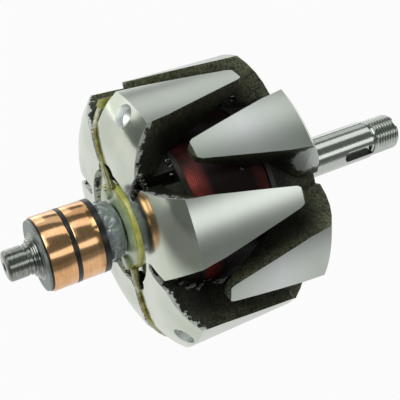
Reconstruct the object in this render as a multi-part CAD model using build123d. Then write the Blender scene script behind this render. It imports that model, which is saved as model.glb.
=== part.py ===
"""Claw-pole alternator rotor: shaft, two claw poles round a field coil, and a slip-ring pack."""

import os
from math import asin, atan2, cos, degrees, radians, sin, sqrt, tan

from build123d import *

# Claw poles. The shaft lies along X, with the slip rings at its -X end and the pulley thread at +X.
POLE_RADIUS = 53.0
CLAWS = 6
SHOULDER_SPAN = 53.5  # from one pole's outer shoulder edge to the other's
FACE_RISE = 8.3  # how far a pole's flat hub face stands outside its shoulder edge
HUB_FACE_RADIUS = 33.0  # the turned crown starts here and runs out to the shoulder edge
CROWN_STEPS = 5  # the crown's arc is turned as this many short cones
WEB_DEPTH = 9.0  # from the shoulder edge in to the web's inner face
CLAW_LENGTH = 44.5
CLAW_SHOULDER_HALF_WIDTH = 12.4
CLAW_WEB_HALF_WIDTH = 11.1  # level with the web's inner face
CLAW_TIP_HALF_WIDTH = 3.4
CLAW_TIP_THICKNESS = 2.8
CLAW_TIP_CHAMFER = 1.1
CLAW_FLAT_UNDERSIDE = 3.0  # the claw clears the coil evenly over this length before it thins
TOP = 90.0  # angles run about X from +Y, so this one points up
HUB_RADIUS = 34.0
VALLEY_SLOT_WIDTH = 4.8
VALLEY_SLOT_BOTTOM = 25.5
VALLEY_THROAT = 37.5  # where two neighbouring arms open out from the slot
LEAD_POCKET_RADIUS = 22.5
LEAD_POCKET_WIDTH = 7.4
LEAD_POCKET_SWEEP = 17.0  # degrees that each pocket runs round from its valley
LEAD_SIDE_CLAW = 150.0  # both lead pockets turn towards this claw
LEAD_VALLEY_OFFSET = 90.0
BALANCE_DRILL_RADIUS = 4.3
BALANCE_DRILL_DEPTH = 3.6
BALANCE_PITCH_RADIUS = POLE_RADIUS - 4.0
BALANCED_CLAWS = (TOP, TOP + 120.0)
DRILL_POINT_ANGLE = 118.0

# Shaft, from the bearing seat outwards. The origin is the middle of the drive-end bearing seat.
SHAFT_RADIUS = 8.5
BEARING_WIDTH = 12.0
SHAFT_COLLAR_RADIUS = 11.5
SHAFT_COLLAR_LENGTH = 3.2
DRIVE_SEAT_LENGTH = 48.0  # bearing, spacer, fan and pulley all sit on this length
DRIVE_SEAT_CHAMFER = 0.6
THREAD_NECK_RADIUS = 6.7
THREAD_NECK_LENGTH = 1.2
THREAD_RADIUS = 8.0
THREAD_LENGTH = 13.6
THREAD_CHAMFER = 1.3
THREAD_CENTRE_DRILL_RADIUS = 2.0
KEY_WIDTH = 5.0
KEYWAY_DEPTH = 3.0
KEYWAY_LENGTH = 16.5
KEYWAY_ANGLE = 177.0
STUB_RADIUS = 6.0
STUB_LENGTH = 9.5
STUB_CHAMFER = 1.0
STUB_CENTRE_DRILL_RADIUS = 1.9
STUB_GROOVE_WIDTH = 0.9
STUB_GROOVE_DEPTH = 0.5
STUB_GROOVE_OFFSET = 1.2
STUB_FLANGE_RADIUS = 9.4
STUB_FLANGE_STEP_RADIUS = 7.2
STUB_FLANGE_LENGTH = 2.6
PACK_SHAFT_RADIUS = 7.5

# Slip-ring pack
SLIP_RING_RADIUS = 14.65
SLIP_RING_LENGTH = 9.4
SLIP_RING_WALL = 2.4
RIB_LENGTH = 1.6
REAR_FLANGE_LENGTH = 2.2
FRONT_LIP_LENGTH = 0.5
FRONT_LIP_RADIUS = 14.1
FRONT_WASHER_RADIUS = 13.8
FRONT_WASHER_THICKNESS = 1.0
PACK_NECK_RADIUS = 9.6
PACK_STAND_OFF = 9.5  # from the rear flange to the hub face
RESIN_LENGTH = 5.6
RESIN_RADIUS = 13.1
RESIN_EDGE = 1.3

# Lead retainer, in a recess of the hub face, and leads
RECESS_RADIUS = 23.6
RECESS_DEPTH = 1.9
RETAINER_RADIUS = 17.8
RETAINER_THICKNESS = 1.4
RETAINER_TAPER = 0.7  # in from the edge, over the thickness
RETAINER_CROWN = 0.6  # the face rises by this much towards the neck
RETAINER_LUG_RADIUS = 3.2
RETAINER_LUG_HEIGHT = 2.2
RETAINER_LUG_PITCH_RADIUS = RETAINER_RADIUS - RETAINER_LUG_RADIUS - 0.1
LEAD_RADIUS = 0.8
LEAD_CLEARANCE = 0.2
LEAD_SIDES = 8
LEAD_LOOP_RADIUS = POLE_RADIUS - 6.4
LEAD_LANDING = 5.5  # how far in from the bobbin's flange the lead meets the coil

# Field coil and its bobbin
BOBBIN_FLANGE = 2.0
BOBBIN_WALL = 1.2
CORE_RADIUS = 24.0
COIL_RADIUS = 33.8
BOBBIN_FLANGE_RADIUS = COIL_RADIUS + 0.6
CLAW_CLEARANCE = 1.1  # between the bobbin's flange and a claw's root
CLAW_ROOT_UNDERSIDE = BOBBIN_FLANGE_RADIUS + CLAW_CLEARANCE

# Stations along the shaft
X_SEAT_START = -BEARING_WIDTH / 2
X_DRIVE_FACE = X_SEAT_START - SHAFT_COLLAR_LENGTH
X_DRIVE_SHOULDER = X_DRIVE_FACE - FACE_RISE
X_RING_SHOULDER = X_DRIVE_SHOULDER - SHOULDER_SPAN
X_RING_FACE = X_RING_SHOULDER - FACE_RISE
X_RING_WEB = X_RING_SHOULDER + WEB_DEPTH
X_DRIVE_WEB = X_DRIVE_SHOULDER - WEB_DEPTH
X_SEAT_END = X_SEAT_START + DRIVE_SEAT_LENGTH
X_THREAD_START = X_SEAT_END + THREAD_NECK_LENGTH
X_THREAD_END = X_THREAD_START + THREAD_LENGTH
X_RECESS = X_RING_FACE + RECESS_DEPTH
X_REAR_FLANGE = X_RING_FACE - PACK_STAND_OFF
X_RING_INNER = X_REAR_FLANGE - REAR_FLANGE_LENGTH
X_RIB = X_RING_INNER - SLIP_RING_LENGTH
X_RING_OUTER = X_RIB - RIB_LENGTH
X_LIP = X_RING_OUTER - SLIP_RING_LENGTH
X_WASHER = X_LIP - FRONT_LIP_LENGTH
X_FLANGE = X_WASHER - FRONT_WASHER_THICKNESS
X_STUB = X_FLANGE - STUB_FLANGE_LENGTH
X_STUB_END = X_STUB - STUB_LENGTH


def turned(*corners):
    """A turned piece from the (station, radius) corners of its half section."""
    section = Polyline(*[(x, 0, r) for x, r in corners], close=True)
    return revolve(make_face(section), Axis.X)


def tube(start, end, outer, inner):
    """A turned tube from one station to another."""
    return turned((start, inner), (start, outer), (end, outer), (end, inner))


def about_shaft(shape, angle):
    """The shape, drawn at the top of the rotor, turned to an angle from +Y towards +Z."""
    return shape.rotate(Axis.X, angle - TOP)


def polar(radius, angle, station=0.0):
    """A point at a radius and an angle about the shaft."""
    return Vector(station, radius * cos(radians(angle)), radius * sin(radians(angle)))


def crown_radius():
    """Radius of the arc that meets the hub face flat and ends at the shoulder edge."""
    height = POLE_RADIUS - HUB_FACE_RADIUS
    return (FACE_RISE**2 + height**2) / (2 * FACE_RISE)


def crown_depth(radius):
    """How far the crown lies behind the hub face at a radius."""
    arc = crown_radius()
    return arc - sqrt(arc**2 - max(radius - HUB_FACE_RADIUS, 0) ** 2)


def pole_section():
    """Half section of a pole with its hub face at x = 0 and its claws pointing to +X."""
    web = FACE_RISE + WEB_DEPTH
    tip = FACE_RISE + CLAW_LENGTH
    crown = []
    for n in range(CROWN_STEPS + 1):
        turn = asin((POLE_RADIUS - HUB_FACE_RADIUS) / crown_radius()) * n / CROWN_STEPS
        radius = HUB_FACE_RADIUS + crown_radius() * sin(turn)
        crown.append((crown_depth(radius), 0, radius))
    section = Polyline(
        *crown,
        (tip - CLAW_TIP_CHAMFER, 0, POLE_RADIUS),
        (tip, 0, POLE_RADIUS - CLAW_TIP_CHAMFER),
        (tip, 0, POLE_RADIUS - CLAW_TIP_THICKNESS),
        (web + CLAW_FLAT_UNDERSIDE, 0, CLAW_ROOT_UNDERSIDE),
        (web, 0, CLAW_ROOT_UNDERSIDE),
        (web, 0, SHAFT_RADIUS),
        (0, 0, SHAFT_RADIUS),
        close=True,
    )
    return make_face(section)


def arm_section(station, half_width, *feet):
    """Section across an arm or claw, at the top of the rotor, from its outer width and foot corners."""
    height = sqrt(POLE_RADIUS**2 - half_width**2)
    (throat, throat_height), floor = feet
    lean = (throat - half_width) / (height - throat_height)
    above = 1.2 * POLE_RADIUS
    corners = [(half_width - lean * (above - height), above), (throat, throat_height), floor]
    mirrored = [(-y, z) for y, z in reversed(corners)]
    return make_face(Plane.YZ.offset(station) * Polyline(*corners, *mirrored, close=True))


def valley_corner(radius):
    """Where the slot's wall is at a radius, seen from the middle of the arm beside it."""
    angle = radians(180 / CLAWS) - asin(VALLEY_SLOT_WIDTH / 2 / radius)
    return radius * sin(angle), radius * cos(angle)


def claw_feet(half_width):
    """Foot corners of a claw, whose flanks point at the shaft's axis."""
    angle = asin(half_width / POLE_RADIUS)
    return [(radius * sin(angle), radius * cos(angle)) for radius in (HUB_RADIUS, 0.9 * HUB_RADIUS)]


def tip_corners(web, tip):
    """The two corners that a nearly full rounding takes off a claw's tip, as seen from above."""
    taper = atan2(CLAW_WEB_HALF_WIDTH - CLAW_TIP_HALF_WIDTH, tip - web)
    full_round = CLAW_TIP_HALF_WIDTH / tan((radians(90) - taper) / 2)
    plan = make_face(
        Polyline(
            (web, -CLAW_WEB_HALF_WIDTH),
            (tip, -CLAW_TIP_HALF_WIDTH),
            (tip, CLAW_TIP_HALF_WIDTH),
            (web, CLAW_WEB_HALF_WIDTH),
            close=True,
        )
    )
    rounded = fillet(plan.vertices().group_by(Axis.X)[-1], 0.96 * full_round)
    return extrude(plan - rounded, 2 * POLE_RADIUS)


def arm_form():
    """One arm and its claw as an endless bar, to be cut to length and height by the turned blank."""
    web = FACE_RISE + WEB_DEPTH
    tip = FACE_RISE + CLAW_LENGTH
    arm_feet = valley_corner(VALLEY_THROAT), valley_corner(0.99 * HUB_RADIUS)
    form = loft(
        [
            arm_section(-1, CLAW_SHOULDER_HALF_WIDTH, *arm_feet),
            arm_section(FACE_RISE, CLAW_SHOULDER_HALF_WIDTH, *arm_feet),
            arm_section(web, CLAW_WEB_HALF_WIDTH, *claw_feet(CLAW_WEB_HALF_WIDTH)),
            arm_section(tip, CLAW_TIP_HALF_WIDTH, *claw_feet(CLAW_TIP_HALF_WIDTH)),
        ],
        ruled=True,
    )
    return form - tip_corners(web, tip)


def valley_slot():
    """Cutter for the round-bottomed slot between two arms, at the top of the rotor."""
    half = VALLEY_SLOT_WIDTH / 2
    depth = VALLEY_SLOT_BOTTOM + half
    slot = Pos(0, (depth + VALLEY_THROAT) / 2) * Rectangle(VALLEY_SLOT_WIDTH, VALLEY_THROAT - depth)
    slot += Pos(0, depth) * Circle(half)
    return extrude(Plane.YZ.offset(-1) * slot, FACE_RISE + WEB_DEPTH + 2)


def lead_pocket(start, sweep):
    """Curved pocket through the web, running round the hub from an angle."""
    centre_line = CenterArc((0, 0), LEAD_POCKET_RADIUS, start, sweep)
    half = LEAD_POCKET_WIDTH / 2
    ends = [centre_line @ 0, centre_line @ 1]
    band = make_face(
        [
            CenterArc((0, 0), LEAD_POCKET_RADIUS - half, start, sweep),
            CenterArc((0, 0), LEAD_POCKET_RADIUS + half, start, sweep),
            Line(ends[0] * (1 - half / LEAD_POCKET_RADIUS), ends[0] * (1 + half / LEAD_POCKET_RADIUS)),
            Line(ends[1] * (1 - half / LEAD_POCKET_RADIUS), ends[1] * (1 + half / LEAD_POCKET_RADIUS)),
        ]
    )
    web = FACE_RISE + WEB_DEPTH
    pocket = extrude(Plane.YZ.offset(-1) * band, web + 2)
    for end in ends:
        rounded = Plane.YZ.offset(-1) * Pos(end.X, end.Y) * Circle(half)
        pocket += extrude(rounded, web + 2)
    return pocket


def balance_drill():
    """Drill, square to the crown, for the claw at the top of the rotor."""
    arc = crown_radius()
    depth = crown_depth(BALANCE_PITCH_RADIUS)
    lean = degrees(atan2(BALANCE_PITCH_RADIUS - HUB_FACE_RADIUS, arc - depth))
    point = BALANCE_DRILL_RADIUS / sin(radians(DRILL_POINT_ANGLE / 2)) * cos(radians(DRILL_POINT_ANGLE / 2))
    section = Polyline(
        (BALANCE_DRILL_DEPTH + point, 0, 0),
        (BALANCE_DRILL_DEPTH, 0, BALANCE_DRILL_RADIUS),
        (-2 * BALANCE_DRILL_DEPTH, 0, BALANCE_DRILL_RADIUS),
        (-2 * BALANCE_DRILL_DEPTH, 0, 0),
        close=True,
    )
    drill = revolve(make_face(section), Axis.X)
    return drill.rotate(Axis.Y, lean).translate((depth, 0, BALANCE_PITCH_RADIUS))


def pole(slotted=False, lead_valleys=(), balanced=()):
    """One claw pole with its hub face at x = 0, claws to +X, and the first claw at the top."""
    blank = revolve(pole_section(), Axis.X)
    web = FACE_RISE + WEB_DEPTH
    shape = blank & tube(0, web, HUB_RADIUS, SHAFT_RADIUS)
    pitch = 360 / CLAWS
    if slotted:
        for n in range(CLAWS):
            shape -= about_shaft(valley_slot(), TOP + pitch * (n + 0.5))
    for start, sweep in lead_valleys:
        shape -= lead_pocket(start, sweep)
    claw = blank & arm_form()
    for n in range(CLAWS):
        shape += about_shaft(claw, TOP + pitch * n)
    for angle in balanced:
        shape -= about_shaft(balance_drill(), angle)
    return shape


def front_pole():
    """The slip-ring end's pole, with its slots, recess, lead pockets and balance drillings."""
    pockets = [
        (LEAD_SIDE_CLAW - LEAD_VALLEY_OFFSET, LEAD_POCKET_SWEEP),
        (LEAD_SIDE_CLAW + LEAD_VALLEY_OFFSET, -LEAD_POCKET_SWEEP),
    ]
    shape = pole(True, pockets, BALANCED_CLAWS) - tube(-1, RECESS_DEPTH, RECESS_RADIUS, 0.9 * SHAFT_RADIUS)
    return shape.translate((X_RING_FACE, 0, 0))


def rear_pole():
    """The drive end's pole: the same claws turned round, between the other's, on a round hub."""
    shape = pole().rotate(Axis.Z, 180).rotate(Axis.X, 180 / CLAWS)
    return shape.translate((X_DRIVE_FACE, 0, 0))


def centre_drill(station, radius, direction):
    """Lathe centre in a shaft's end: a short pilot with a 60 degree countersink."""
    pilot = 0.5 * radius
    cone = (radius - pilot) * sqrt(3)
    return turned(
        (station - direction, 0),
        (station - direction, radius),
        (station, radius),
        (station + direction * cone, pilot),
        (station + direction * (cone + radius), pilot),
        (station + direction * (cone + 1.3 * radius), 0),
    )


def shaft():
    """The whole shaft, turned from one bar."""
    groove = X_STUB - STUB_GROOVE_OFFSET
    body = turned(
        (X_STUB_END, 0),
        (X_STUB_END, STUB_RADIUS - STUB_CHAMFER),
        (X_STUB_END + STUB_CHAMFER, STUB_RADIUS),
        (groove - STUB_GROOVE_WIDTH, STUB_RADIUS),
        (groove - STUB_GROOVE_WIDTH, STUB_RADIUS - STUB_GROOVE_DEPTH),
        (groove, STUB_RADIUS - STUB_GROOVE_DEPTH),
        (groove, STUB_FLANGE_STEP_RADIUS),
        (X_STUB, STUB_FLANGE_STEP_RADIUS),
        (X_FLANGE, STUB_FLANGE_RADIUS),
        (X_FLANGE, PACK_SHAFT_RADIUS),
        (X_RECESS, PACK_SHAFT_RADIUS),
        (X_RECESS, SHAFT_RADIUS),
        (X_DRIVE_FACE, SHAFT_RADIUS),
        (X_DRIVE_FACE, SHAFT_COLLAR_RADIUS),
        (X_SEAT_START, SHAFT_COLLAR_RADIUS),
        (X_SEAT_START, SHAFT_RADIUS),
        (X_SEAT_END - DRIVE_SEAT_CHAMFER, SHAFT_RADIUS),
        (X_SEAT_END, SHAFT_RADIUS - DRIVE_SEAT_CHAMFER),
        (X_SEAT_END, THREAD_NECK_RADIUS),
        (X_THREAD_START, THREAD_NECK_RADIUS),
        (X_THREAD_START + THREAD_RADIUS - THREAD_NECK_RADIUS, THREAD_RADIUS),
        (X_THREAD_END - THREAD_CHAMFER, THREAD_RADIUS),
        (X_THREAD_END, THREAD_RADIUS - THREAD_CHAMFER),
        (X_THREAD_END, 0),
    )
    body -= centre_drill(X_STUB_END, STUB_CENTRE_DRILL_RADIUS, 1)
    body -= centre_drill(X_THREAD_END, THREAD_CENTRE_DRILL_RADIUS, -1)
    height = KEYWAY_DEPTH + SHAFT_RADIUS
    slot = Box(KEYWAY_LENGTH, KEY_WIDTH, height, align=(Align.MAX, Align.CENTER, Align.MIN))
    slot = fillet(slot.edges().filter_by(Axis.Z).group_by(Axis.X)[0], KEY_WIDTH / 2 - 0.01)
    slot = slot.translate((X_SEAT_END, 0, SHAFT_RADIUS - KEYWAY_DEPTH))
    return body - about_shaft(slot, KEYWAY_ANGLE)


def core():
    """Soft-iron sleeve on the shaft that carries the flux between the two poles."""
    return tube(X_RING_WEB, X_DRIVE_WEB, CORE_RADIUS, SHAFT_RADIUS)


def bobbin():
    """Moulded spool on the core: a tube between two flanges."""
    return turned(
        (X_RING_WEB, CORE_RADIUS),
        (X_RING_WEB, BOBBIN_FLANGE_RADIUS),
        (X_RING_WEB + BOBBIN_FLANGE, BOBBIN_FLANGE_RADIUS),
        (X_RING_WEB + BOBBIN_FLANGE, CORE_RADIUS + BOBBIN_WALL),
        (X_DRIVE_WEB - BOBBIN_FLANGE, CORE_RADIUS + BOBBIN_WALL),
        (X_DRIVE_WEB - BOBBIN_FLANGE, BOBBIN_FLANGE_RADIUS),
        (X_DRIVE_WEB, BOBBIN_FLANGE_RADIUS),
        (X_DRIVE_WEB, CORE_RADIUS),
    )


def winding():
    """Field coil wound on the bobbin, drawn as its full envelope."""
    start = X_RING_WEB + BOBBIN_FLANGE
    return tube(start, X_DRIVE_WEB - BOBBIN_FLANGE, COIL_RADIUS, CORE_RADIUS + BOBBIN_WALL)


def ring_insulator():
    """Moulded sleeve that carries both slip rings, with a rib between them and a rear flange."""
    seat = SLIP_RING_RADIUS - SLIP_RING_WALL
    return turned(
        (X_WASHER, PACK_SHAFT_RADIUS),
        (X_WASHER, FRONT_LIP_RADIUS),
        (X_LIP, FRONT_LIP_RADIUS),
        (X_LIP, seat),
        (X_RING_OUTER, seat),
        (X_RING_OUTER, SLIP_RING_RADIUS),
        (X_RIB, SLIP_RING_RADIUS),
        (X_RIB, seat),
        (X_RING_INNER, seat),
        (X_RING_INNER, SLIP_RING_RADIUS),
        (X_REAR_FLANGE, SLIP_RING_RADIUS),
        (X_REAR_FLANGE, PACK_NECK_RADIUS),
        (X_RECESS, PACK_NECK_RADIUS),
        (X_RECESS, PACK_SHAFT_RADIUS),
    )


def slip_ring(start):
    """One copper slip ring from the station where it starts."""
    inner = SLIP_RING_RADIUS - SLIP_RING_WALL
    return tube(start, start + SLIP_RING_LENGTH, SLIP_RING_RADIUS, inner)


def front_washer():
    """Pale washer that closes the pack against the shaft's flange."""
    return tube(X_FLANGE, X_WASHER, FRONT_WASHER_RADIUS, PACK_SHAFT_RADIUS)


def retainer():
    """Lead retainer: a slightly crowned plate in the hub's recess, with a lug beside each lead."""
    face = X_RECESS - RETAINER_THICKNESS
    plate = turned(
        (face - RETAINER_CROWN, PACK_NECK_RADIUS),
        (face, RETAINER_RADIUS - RETAINER_TAPER),
        (X_RECESS, RETAINER_RADIUS),
        (X_RECESS, PACK_NECK_RADIUS),
    )
    for side in (-1, 1):
        angle = LEAD_SIDE_CLAW + side * LEAD_VALLEY_OFFSET
        spot = polar(RETAINER_LUG_PITCH_RADIUS, angle, face - RETAINER_LUG_HEIGHT)
        lug = Cylinder(
            RETAINER_LUG_RADIUS,
            RETAINER_LUG_HEIGHT + RETAINER_THICKNESS,
            align=(Align.CENTER, Align.CENTER, Align.MIN),
        )
        plate += lug.rotate(Axis.Y, 90).translate(spot)
    return plate


def resin_collar():
    """Potting resin round the pack's neck, behind the rear flange."""
    end = X_REAR_FLANGE + RESIN_LENGTH
    return turned(
        (X_REAR_FLANGE, PACK_NECK_RADIUS),
        (X_REAR_FLANGE, RESIN_RADIUS - RESIN_EDGE / 2),
        (X_REAR_FLANGE + RESIN_EDGE, RESIN_RADIUS),
        (end - RESIN_EDGE, RESIN_RADIUS),
        (end, RESIN_RADIUS - RESIN_EDGE),
        (end, PACK_NECK_RADIUS),
    )


def corner_radii(points):
    """The largest arc that each corner of a cord's route leaves room for."""
    radii = []
    for before, corner, after in zip(points, points[1:], points[2:]):
        turn = (corner - before).get_angle(after - corner)
        shorter = min((corner - before).length, (after - corner).length)
        radii.append(0.45 * shorter / tan(radians(turn / 2)))
    print("lead corner radii", [round(radius, 1) for radius in radii])
    return radii


def lead(side):
    """Insulated lead: over the retainer's edge, out along its valley and down on to the coil."""
    valley_angle = LEAD_SIDE_CLAW + side * LEAD_VALLEY_OFFSET
    on_face = X_RING_FACE - LEAD_RADIUS - 0.5 * LEAD_CLEARANCE
    on_coil = COIL_RADIUS + LEAD_RADIUS + LEAD_CLEARANCE
    landing = X_RING_WEB + BOBBIN_FLANGE + LEAD_LANDING
    route = [
        (RETAINER_RADIUS - 1.2, -16, on_face),
        (RETAINER_RADIUS + 2.7, -9, on_face),
        (VALLEY_SLOT_BOTTOM + 1.5, -4.5, on_face),
        (VALLEY_THROAT, -4, on_face),
        (VALLEY_THROAT + 6.5, -4.5, X_RING_FACE + 2.2),
        (LEAD_LOOP_RADIUS + 1.0, -3, X_RING_SHOULDER - 2.0),
        (LEAD_LOOP_RADIUS, -1, X_RING_SHOULDER + 4.8),
        (on_coil + 2.6, -3, landing - 2.5),
        (on_coil, -10, landing),
        (on_coil, -20, landing + LEAD_RADIUS),
    ]
    points = [polar(radius, valley_angle + side * turn, station) for radius, turn, station in route]
    path = FilletPolyline(*points, radius=corner_radii(points))
    section = Plane(origin=path @ 0, z_dir=path % 0) * RegularPolygon(LEAD_RADIUS, LEAD_SIDES)
    return sweep(section, path=path)


PIECES = {
    "shaft": shaft,
    "core": core,
    "pole_slip_ring_end": front_pole,
    "pole_drive_end": rear_pole,
    "bobbin": bobbin,
    "field_winding": winding,
    "ring_insulator": ring_insulator,
    "slip_ring_inner": lambda: slip_ring(X_RIB),
    "slip_ring_outer": lambda: slip_ring(X_LIP),
    "front_washer": front_washer,
    "lead_retainer": retainer,
    "resin_collar": resin_collar,
    "lead_upper": lambda: lead(-1),
    "lead_lower": lambda: lead(1),
}

os.makedirs("parts", exist_ok=True)
for name, make in PIECES.items():
    export_step(make(), f"parts/{name}.step")
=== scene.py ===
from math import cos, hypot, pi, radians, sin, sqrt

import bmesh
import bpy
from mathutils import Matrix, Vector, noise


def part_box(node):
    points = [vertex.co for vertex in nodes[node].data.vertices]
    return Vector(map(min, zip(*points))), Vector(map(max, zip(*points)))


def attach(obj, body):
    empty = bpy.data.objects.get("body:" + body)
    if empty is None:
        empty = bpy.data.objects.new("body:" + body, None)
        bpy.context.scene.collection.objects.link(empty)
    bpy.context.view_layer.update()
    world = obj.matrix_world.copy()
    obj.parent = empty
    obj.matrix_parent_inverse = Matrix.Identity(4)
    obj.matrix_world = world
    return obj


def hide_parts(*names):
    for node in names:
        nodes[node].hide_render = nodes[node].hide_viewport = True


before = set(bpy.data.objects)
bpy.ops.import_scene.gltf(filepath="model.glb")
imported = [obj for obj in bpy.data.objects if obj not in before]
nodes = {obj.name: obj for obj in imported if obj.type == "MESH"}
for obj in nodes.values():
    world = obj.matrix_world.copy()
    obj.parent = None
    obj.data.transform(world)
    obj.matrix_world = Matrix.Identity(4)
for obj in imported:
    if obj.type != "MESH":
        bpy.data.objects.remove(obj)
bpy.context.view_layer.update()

# %% [markdown]
# # An alternator's claw-pole rotor
# The rotor turns inside an alternator. A coil round its middle makes it a magnet, and two claw
# poles, one from each end, carry that magnetism to its outside. Current reaches the coil through
# two copper slip rings and two thin leads.
#
# The CAD model has already settled every size. The shaft lies along X, with the slip rings at -X
# and the thread at +X. This scene gives each piece the surface that a workshop left on it: turned
# steel, forged flanks, fine-turned copper, enamelled wire, resin and varnish.

MM = 0.001
print("CAD nodes:", ", ".join(sorted(nodes)))

# %% [markdown]
# The stations along the shaft could be typed in again, but then a change in the CAD model would
# leave gaps here. They are read off the CAD nodes' own boxes instead, so a piece that is made
# here always meets its neighbours.

# %% Stations and radii, in metres
CLAW_LENGTH = 44.5 * MM


def span(node):
    """Where a CAD node starts and ends along the shaft."""
    low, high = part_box(node)
    return low[0], high[0]


def reach(node):
    """How far a CAD node reaches from the shaft's axis."""
    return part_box(node)[1][2]


ring_face, front_tips = span("pole_slip_ring_end")
rear_tips = span("pole_drive_end")[0]
stub_end, thread_end = span("shaft")
coil_start, coil_end = span("field_winding")
front_shoulder = front_tips - CLAW_LENGTH
rear_shoulder = rear_tips + CLAW_LENGTH
pole_radius = reach("pole_slip_ring_end")
coil_radius = reach("field_winding")
ring_radius = reach("slip_ring_inner")
retainer_radius = reach("lead_retainer")
print("pole radius", round(pole_radius, 4))
print("shoulders", round(front_shoulder, 4), round(rear_shoulder, 4))

# %% [markdown]
# ## The camera
# The photograph looks down at the slip-ring end from its left. A view like this can be guessed
# and nudged, but circles tell more: each ring and shoulder shows as an ellipse whose shape
# depends on the lens and the distance. The view was solved from them, so its numbers are fixed.

# %% Camera
CAMERA_PLACE = (-0.1639, -0.2075, 0.1893)
CAMERA_AZIMUTH = -29.9
CAMERA_ELEVATION = 37.7
LENS = 67.6
SENSOR_WIDTH = 36
SHIFT = (0.0093, -0.0233)

camera = bpy.data.objects.new("camera", bpy.data.cameras.new("camera"))
bpy.context.scene.collection.objects.link(camera)
camera.location = CAMERA_PLACE
camera.rotation_euler = (radians(90 - CAMERA_ELEVATION), 0, radians(CAMERA_AZIMUTH))
camera.data.lens = LENS
camera.data.sensor_width = SENSOR_WIDTH
camera.data.shift_x, camera.data.shift_y = SHIFT
bpy.context.scene.camera = camera
bpy.context.scene.view_settings.view_transform = "Standard"
print("camera is", round(Vector(CAMERA_PLACE).length, 3), "m from the drive-end seat")

# %% [markdown]
# ## Shader maths as Python
# A finish can be built by hand in the node editor, but a wall of Math nodes is hard to read.
# Here `Signal` wraps one output of a node, and the usual operators on it add the Math nodes.

# %% Signals


class Signal:
    """One output of a node. Python's operators on it add Math nodes to its finish."""

    def __init__(self, finish, socket):
        self.finish = finish
        self.socket = socket

    def math(self, operation, *others):
        values = dict(enumerate((self, *others)))
        return self.finish.node("ShaderNodeMath", {"operation": operation}, values)

    def __add__(self, other):
        return self.math("ADD", other)

    def __radd__(self, other):
        return self.math("ADD", other)

    def __sub__(self, other):
        return self.math("SUBTRACT", other)

    def __rsub__(self, other):
        return self.finish.node("ShaderNodeMath", {"operation": "SUBTRACT"}, {0: other, 1: self})

    def __mul__(self, other):
        return self.math("MULTIPLY", other)

    def __rmul__(self, other):
        return self.math("MULTIPLY", other)

    def __pow__(self, other):
        return self.math("POWER", other)

    def __abs__(self):
        return self.math("ABSOLUTE")

    def between(self, low, high):
        """0 at low, 1 at high, an even slope between them and level beyond."""
        values = {"Value": self, "From Min": low, "From Max": high, "To Min": 0.0, "To Max": 1.0}
        return self.finish.node("ShaderNodeMapRange", {"clamp": True}, values)


# %% [markdown]
# `Finish` is a material round one Principled shader. Its patterns read Object coordinates: the
# pieces all sit at the origin, so a point's place in a pattern is its real place on the rotor.

# %% Finishes


class Finish:
    """A material built on one Principled shader."""

    def __init__(self, name, **sockets):
        self.material = bpy.data.materials.new(name)
        self.material.use_nodes = True
        self.tree = self.material.node_tree
        self.shader = self.tree.nodes["Principled BSDF"]
        self.set(**sockets)
        place = self.tree.nodes.new("ShaderNodeTexCoord")
        self.place = Signal(self, place.outputs["Object"])
        parts = self.node("ShaderNodeSeparateXYZ", {}, {0: self.place}, out=None)
        self.x, self.y, self.z = (Signal(self, socket) for socket in parts.outputs)

    def fill(self, socket, value):
        """Links a signal to a socket, or sets a plain value on it."""
        if isinstance(value, Signal):
            self.tree.links.new(value.socket, socket)
        elif hasattr(value, "__len__") and len(value) == 3 and socket.type == "RGBA":
            socket.default_value = (*value, 1.0)
        else:
            socket.default_value = value

    def node(self, kind, settings, values, out=0):
        """Adds a node, sets it up and fills its inputs. Returns one output, or the node itself."""
        added = self.tree.nodes.new(kind)
        for name, value in settings.items():
            setattr(added, name, value)
        for name, value in values.items():
            self.fill(added.inputs[name], value)
        return added if out is None else Signal(self, added.outputs[out])

    def set(self, **sockets):
        """Fills sockets of the main shader, with base_color for Base Color and so on."""
        for name, value in sockets.items():
            self.fill(self.shader.inputs[name.replace("_", " ").title()], value)

    def radius(self):
        """Distance from the shaft's axis."""
        return (self.y * self.y + self.z * self.z) ** 0.5

    def angle(self):
        """Angle about the shaft from +Y towards +Z, from -pi to pi."""
        return self.node("ShaderNodeMath", {"operation": "ARCTAN2"}, {0: self.z, 1: self.y})

    def along(self, x, y, z):
        """A vector made of three signals or numbers."""
        return self.node("ShaderNodeCombineXYZ", {}, {0: x, 1: y, 2: z})

    def speckle(self, scale, detail=2.0, roughness=0.5, at=None):
        """Noise from 0 to 1 whose grains are about 1 / scale metres wide."""
        place = at or self.place
        values = {"Vector": place, "Scale": scale, "Detail": detail, "Roughness": roughness}
        return self.node("ShaderNodeTexNoise", {}, values)

    def tool_marks(self, fineness, stretch, detail=3.0, roughness=0.6):
        """Noise drawn out round the shaft, as a cutting tool or a grinding wheel leaves it."""
        at = self.along(self.x * fineness, self.angle() * stretch, 0.0)
        return self.speckle(1.0, detail, roughness, at)

    def mix(self, mask, low, high):
        """Colour low where mask is 0 and high where it is 1."""
        values = {0: mask, 6: low, 7: high}
        return self.node("ShaderNodeMix", {"data_type": "RGBA"}, values, out=2)

    def bump(self, height, depth, strength=1.0):
        """Lets a height signal from 0 to 1 tilt the surface as if it were depth metres high."""
        values = {"Height": height, "Distance": depth, "Strength": strength}
        normal = self.node("ShaderNodeBump", {}, values)
        self.fill(self.shader.inputs["Normal"], normal)

    def __str__(self):
        return f"{self.material.name}: {len(self.tree.nodes)} nodes"


# %% [markdown]
# ## Light
# Bright metal shows what stands round it more than it shows its own colour, so the surroundings
# matter more than the paint. A photographer lays such a part on white paper in a loose tent of
# soft panels. The paper here gives its own light to the camera and to reflections. It is dark
# to reflections in front of the rotor, where the photographer stood.

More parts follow.
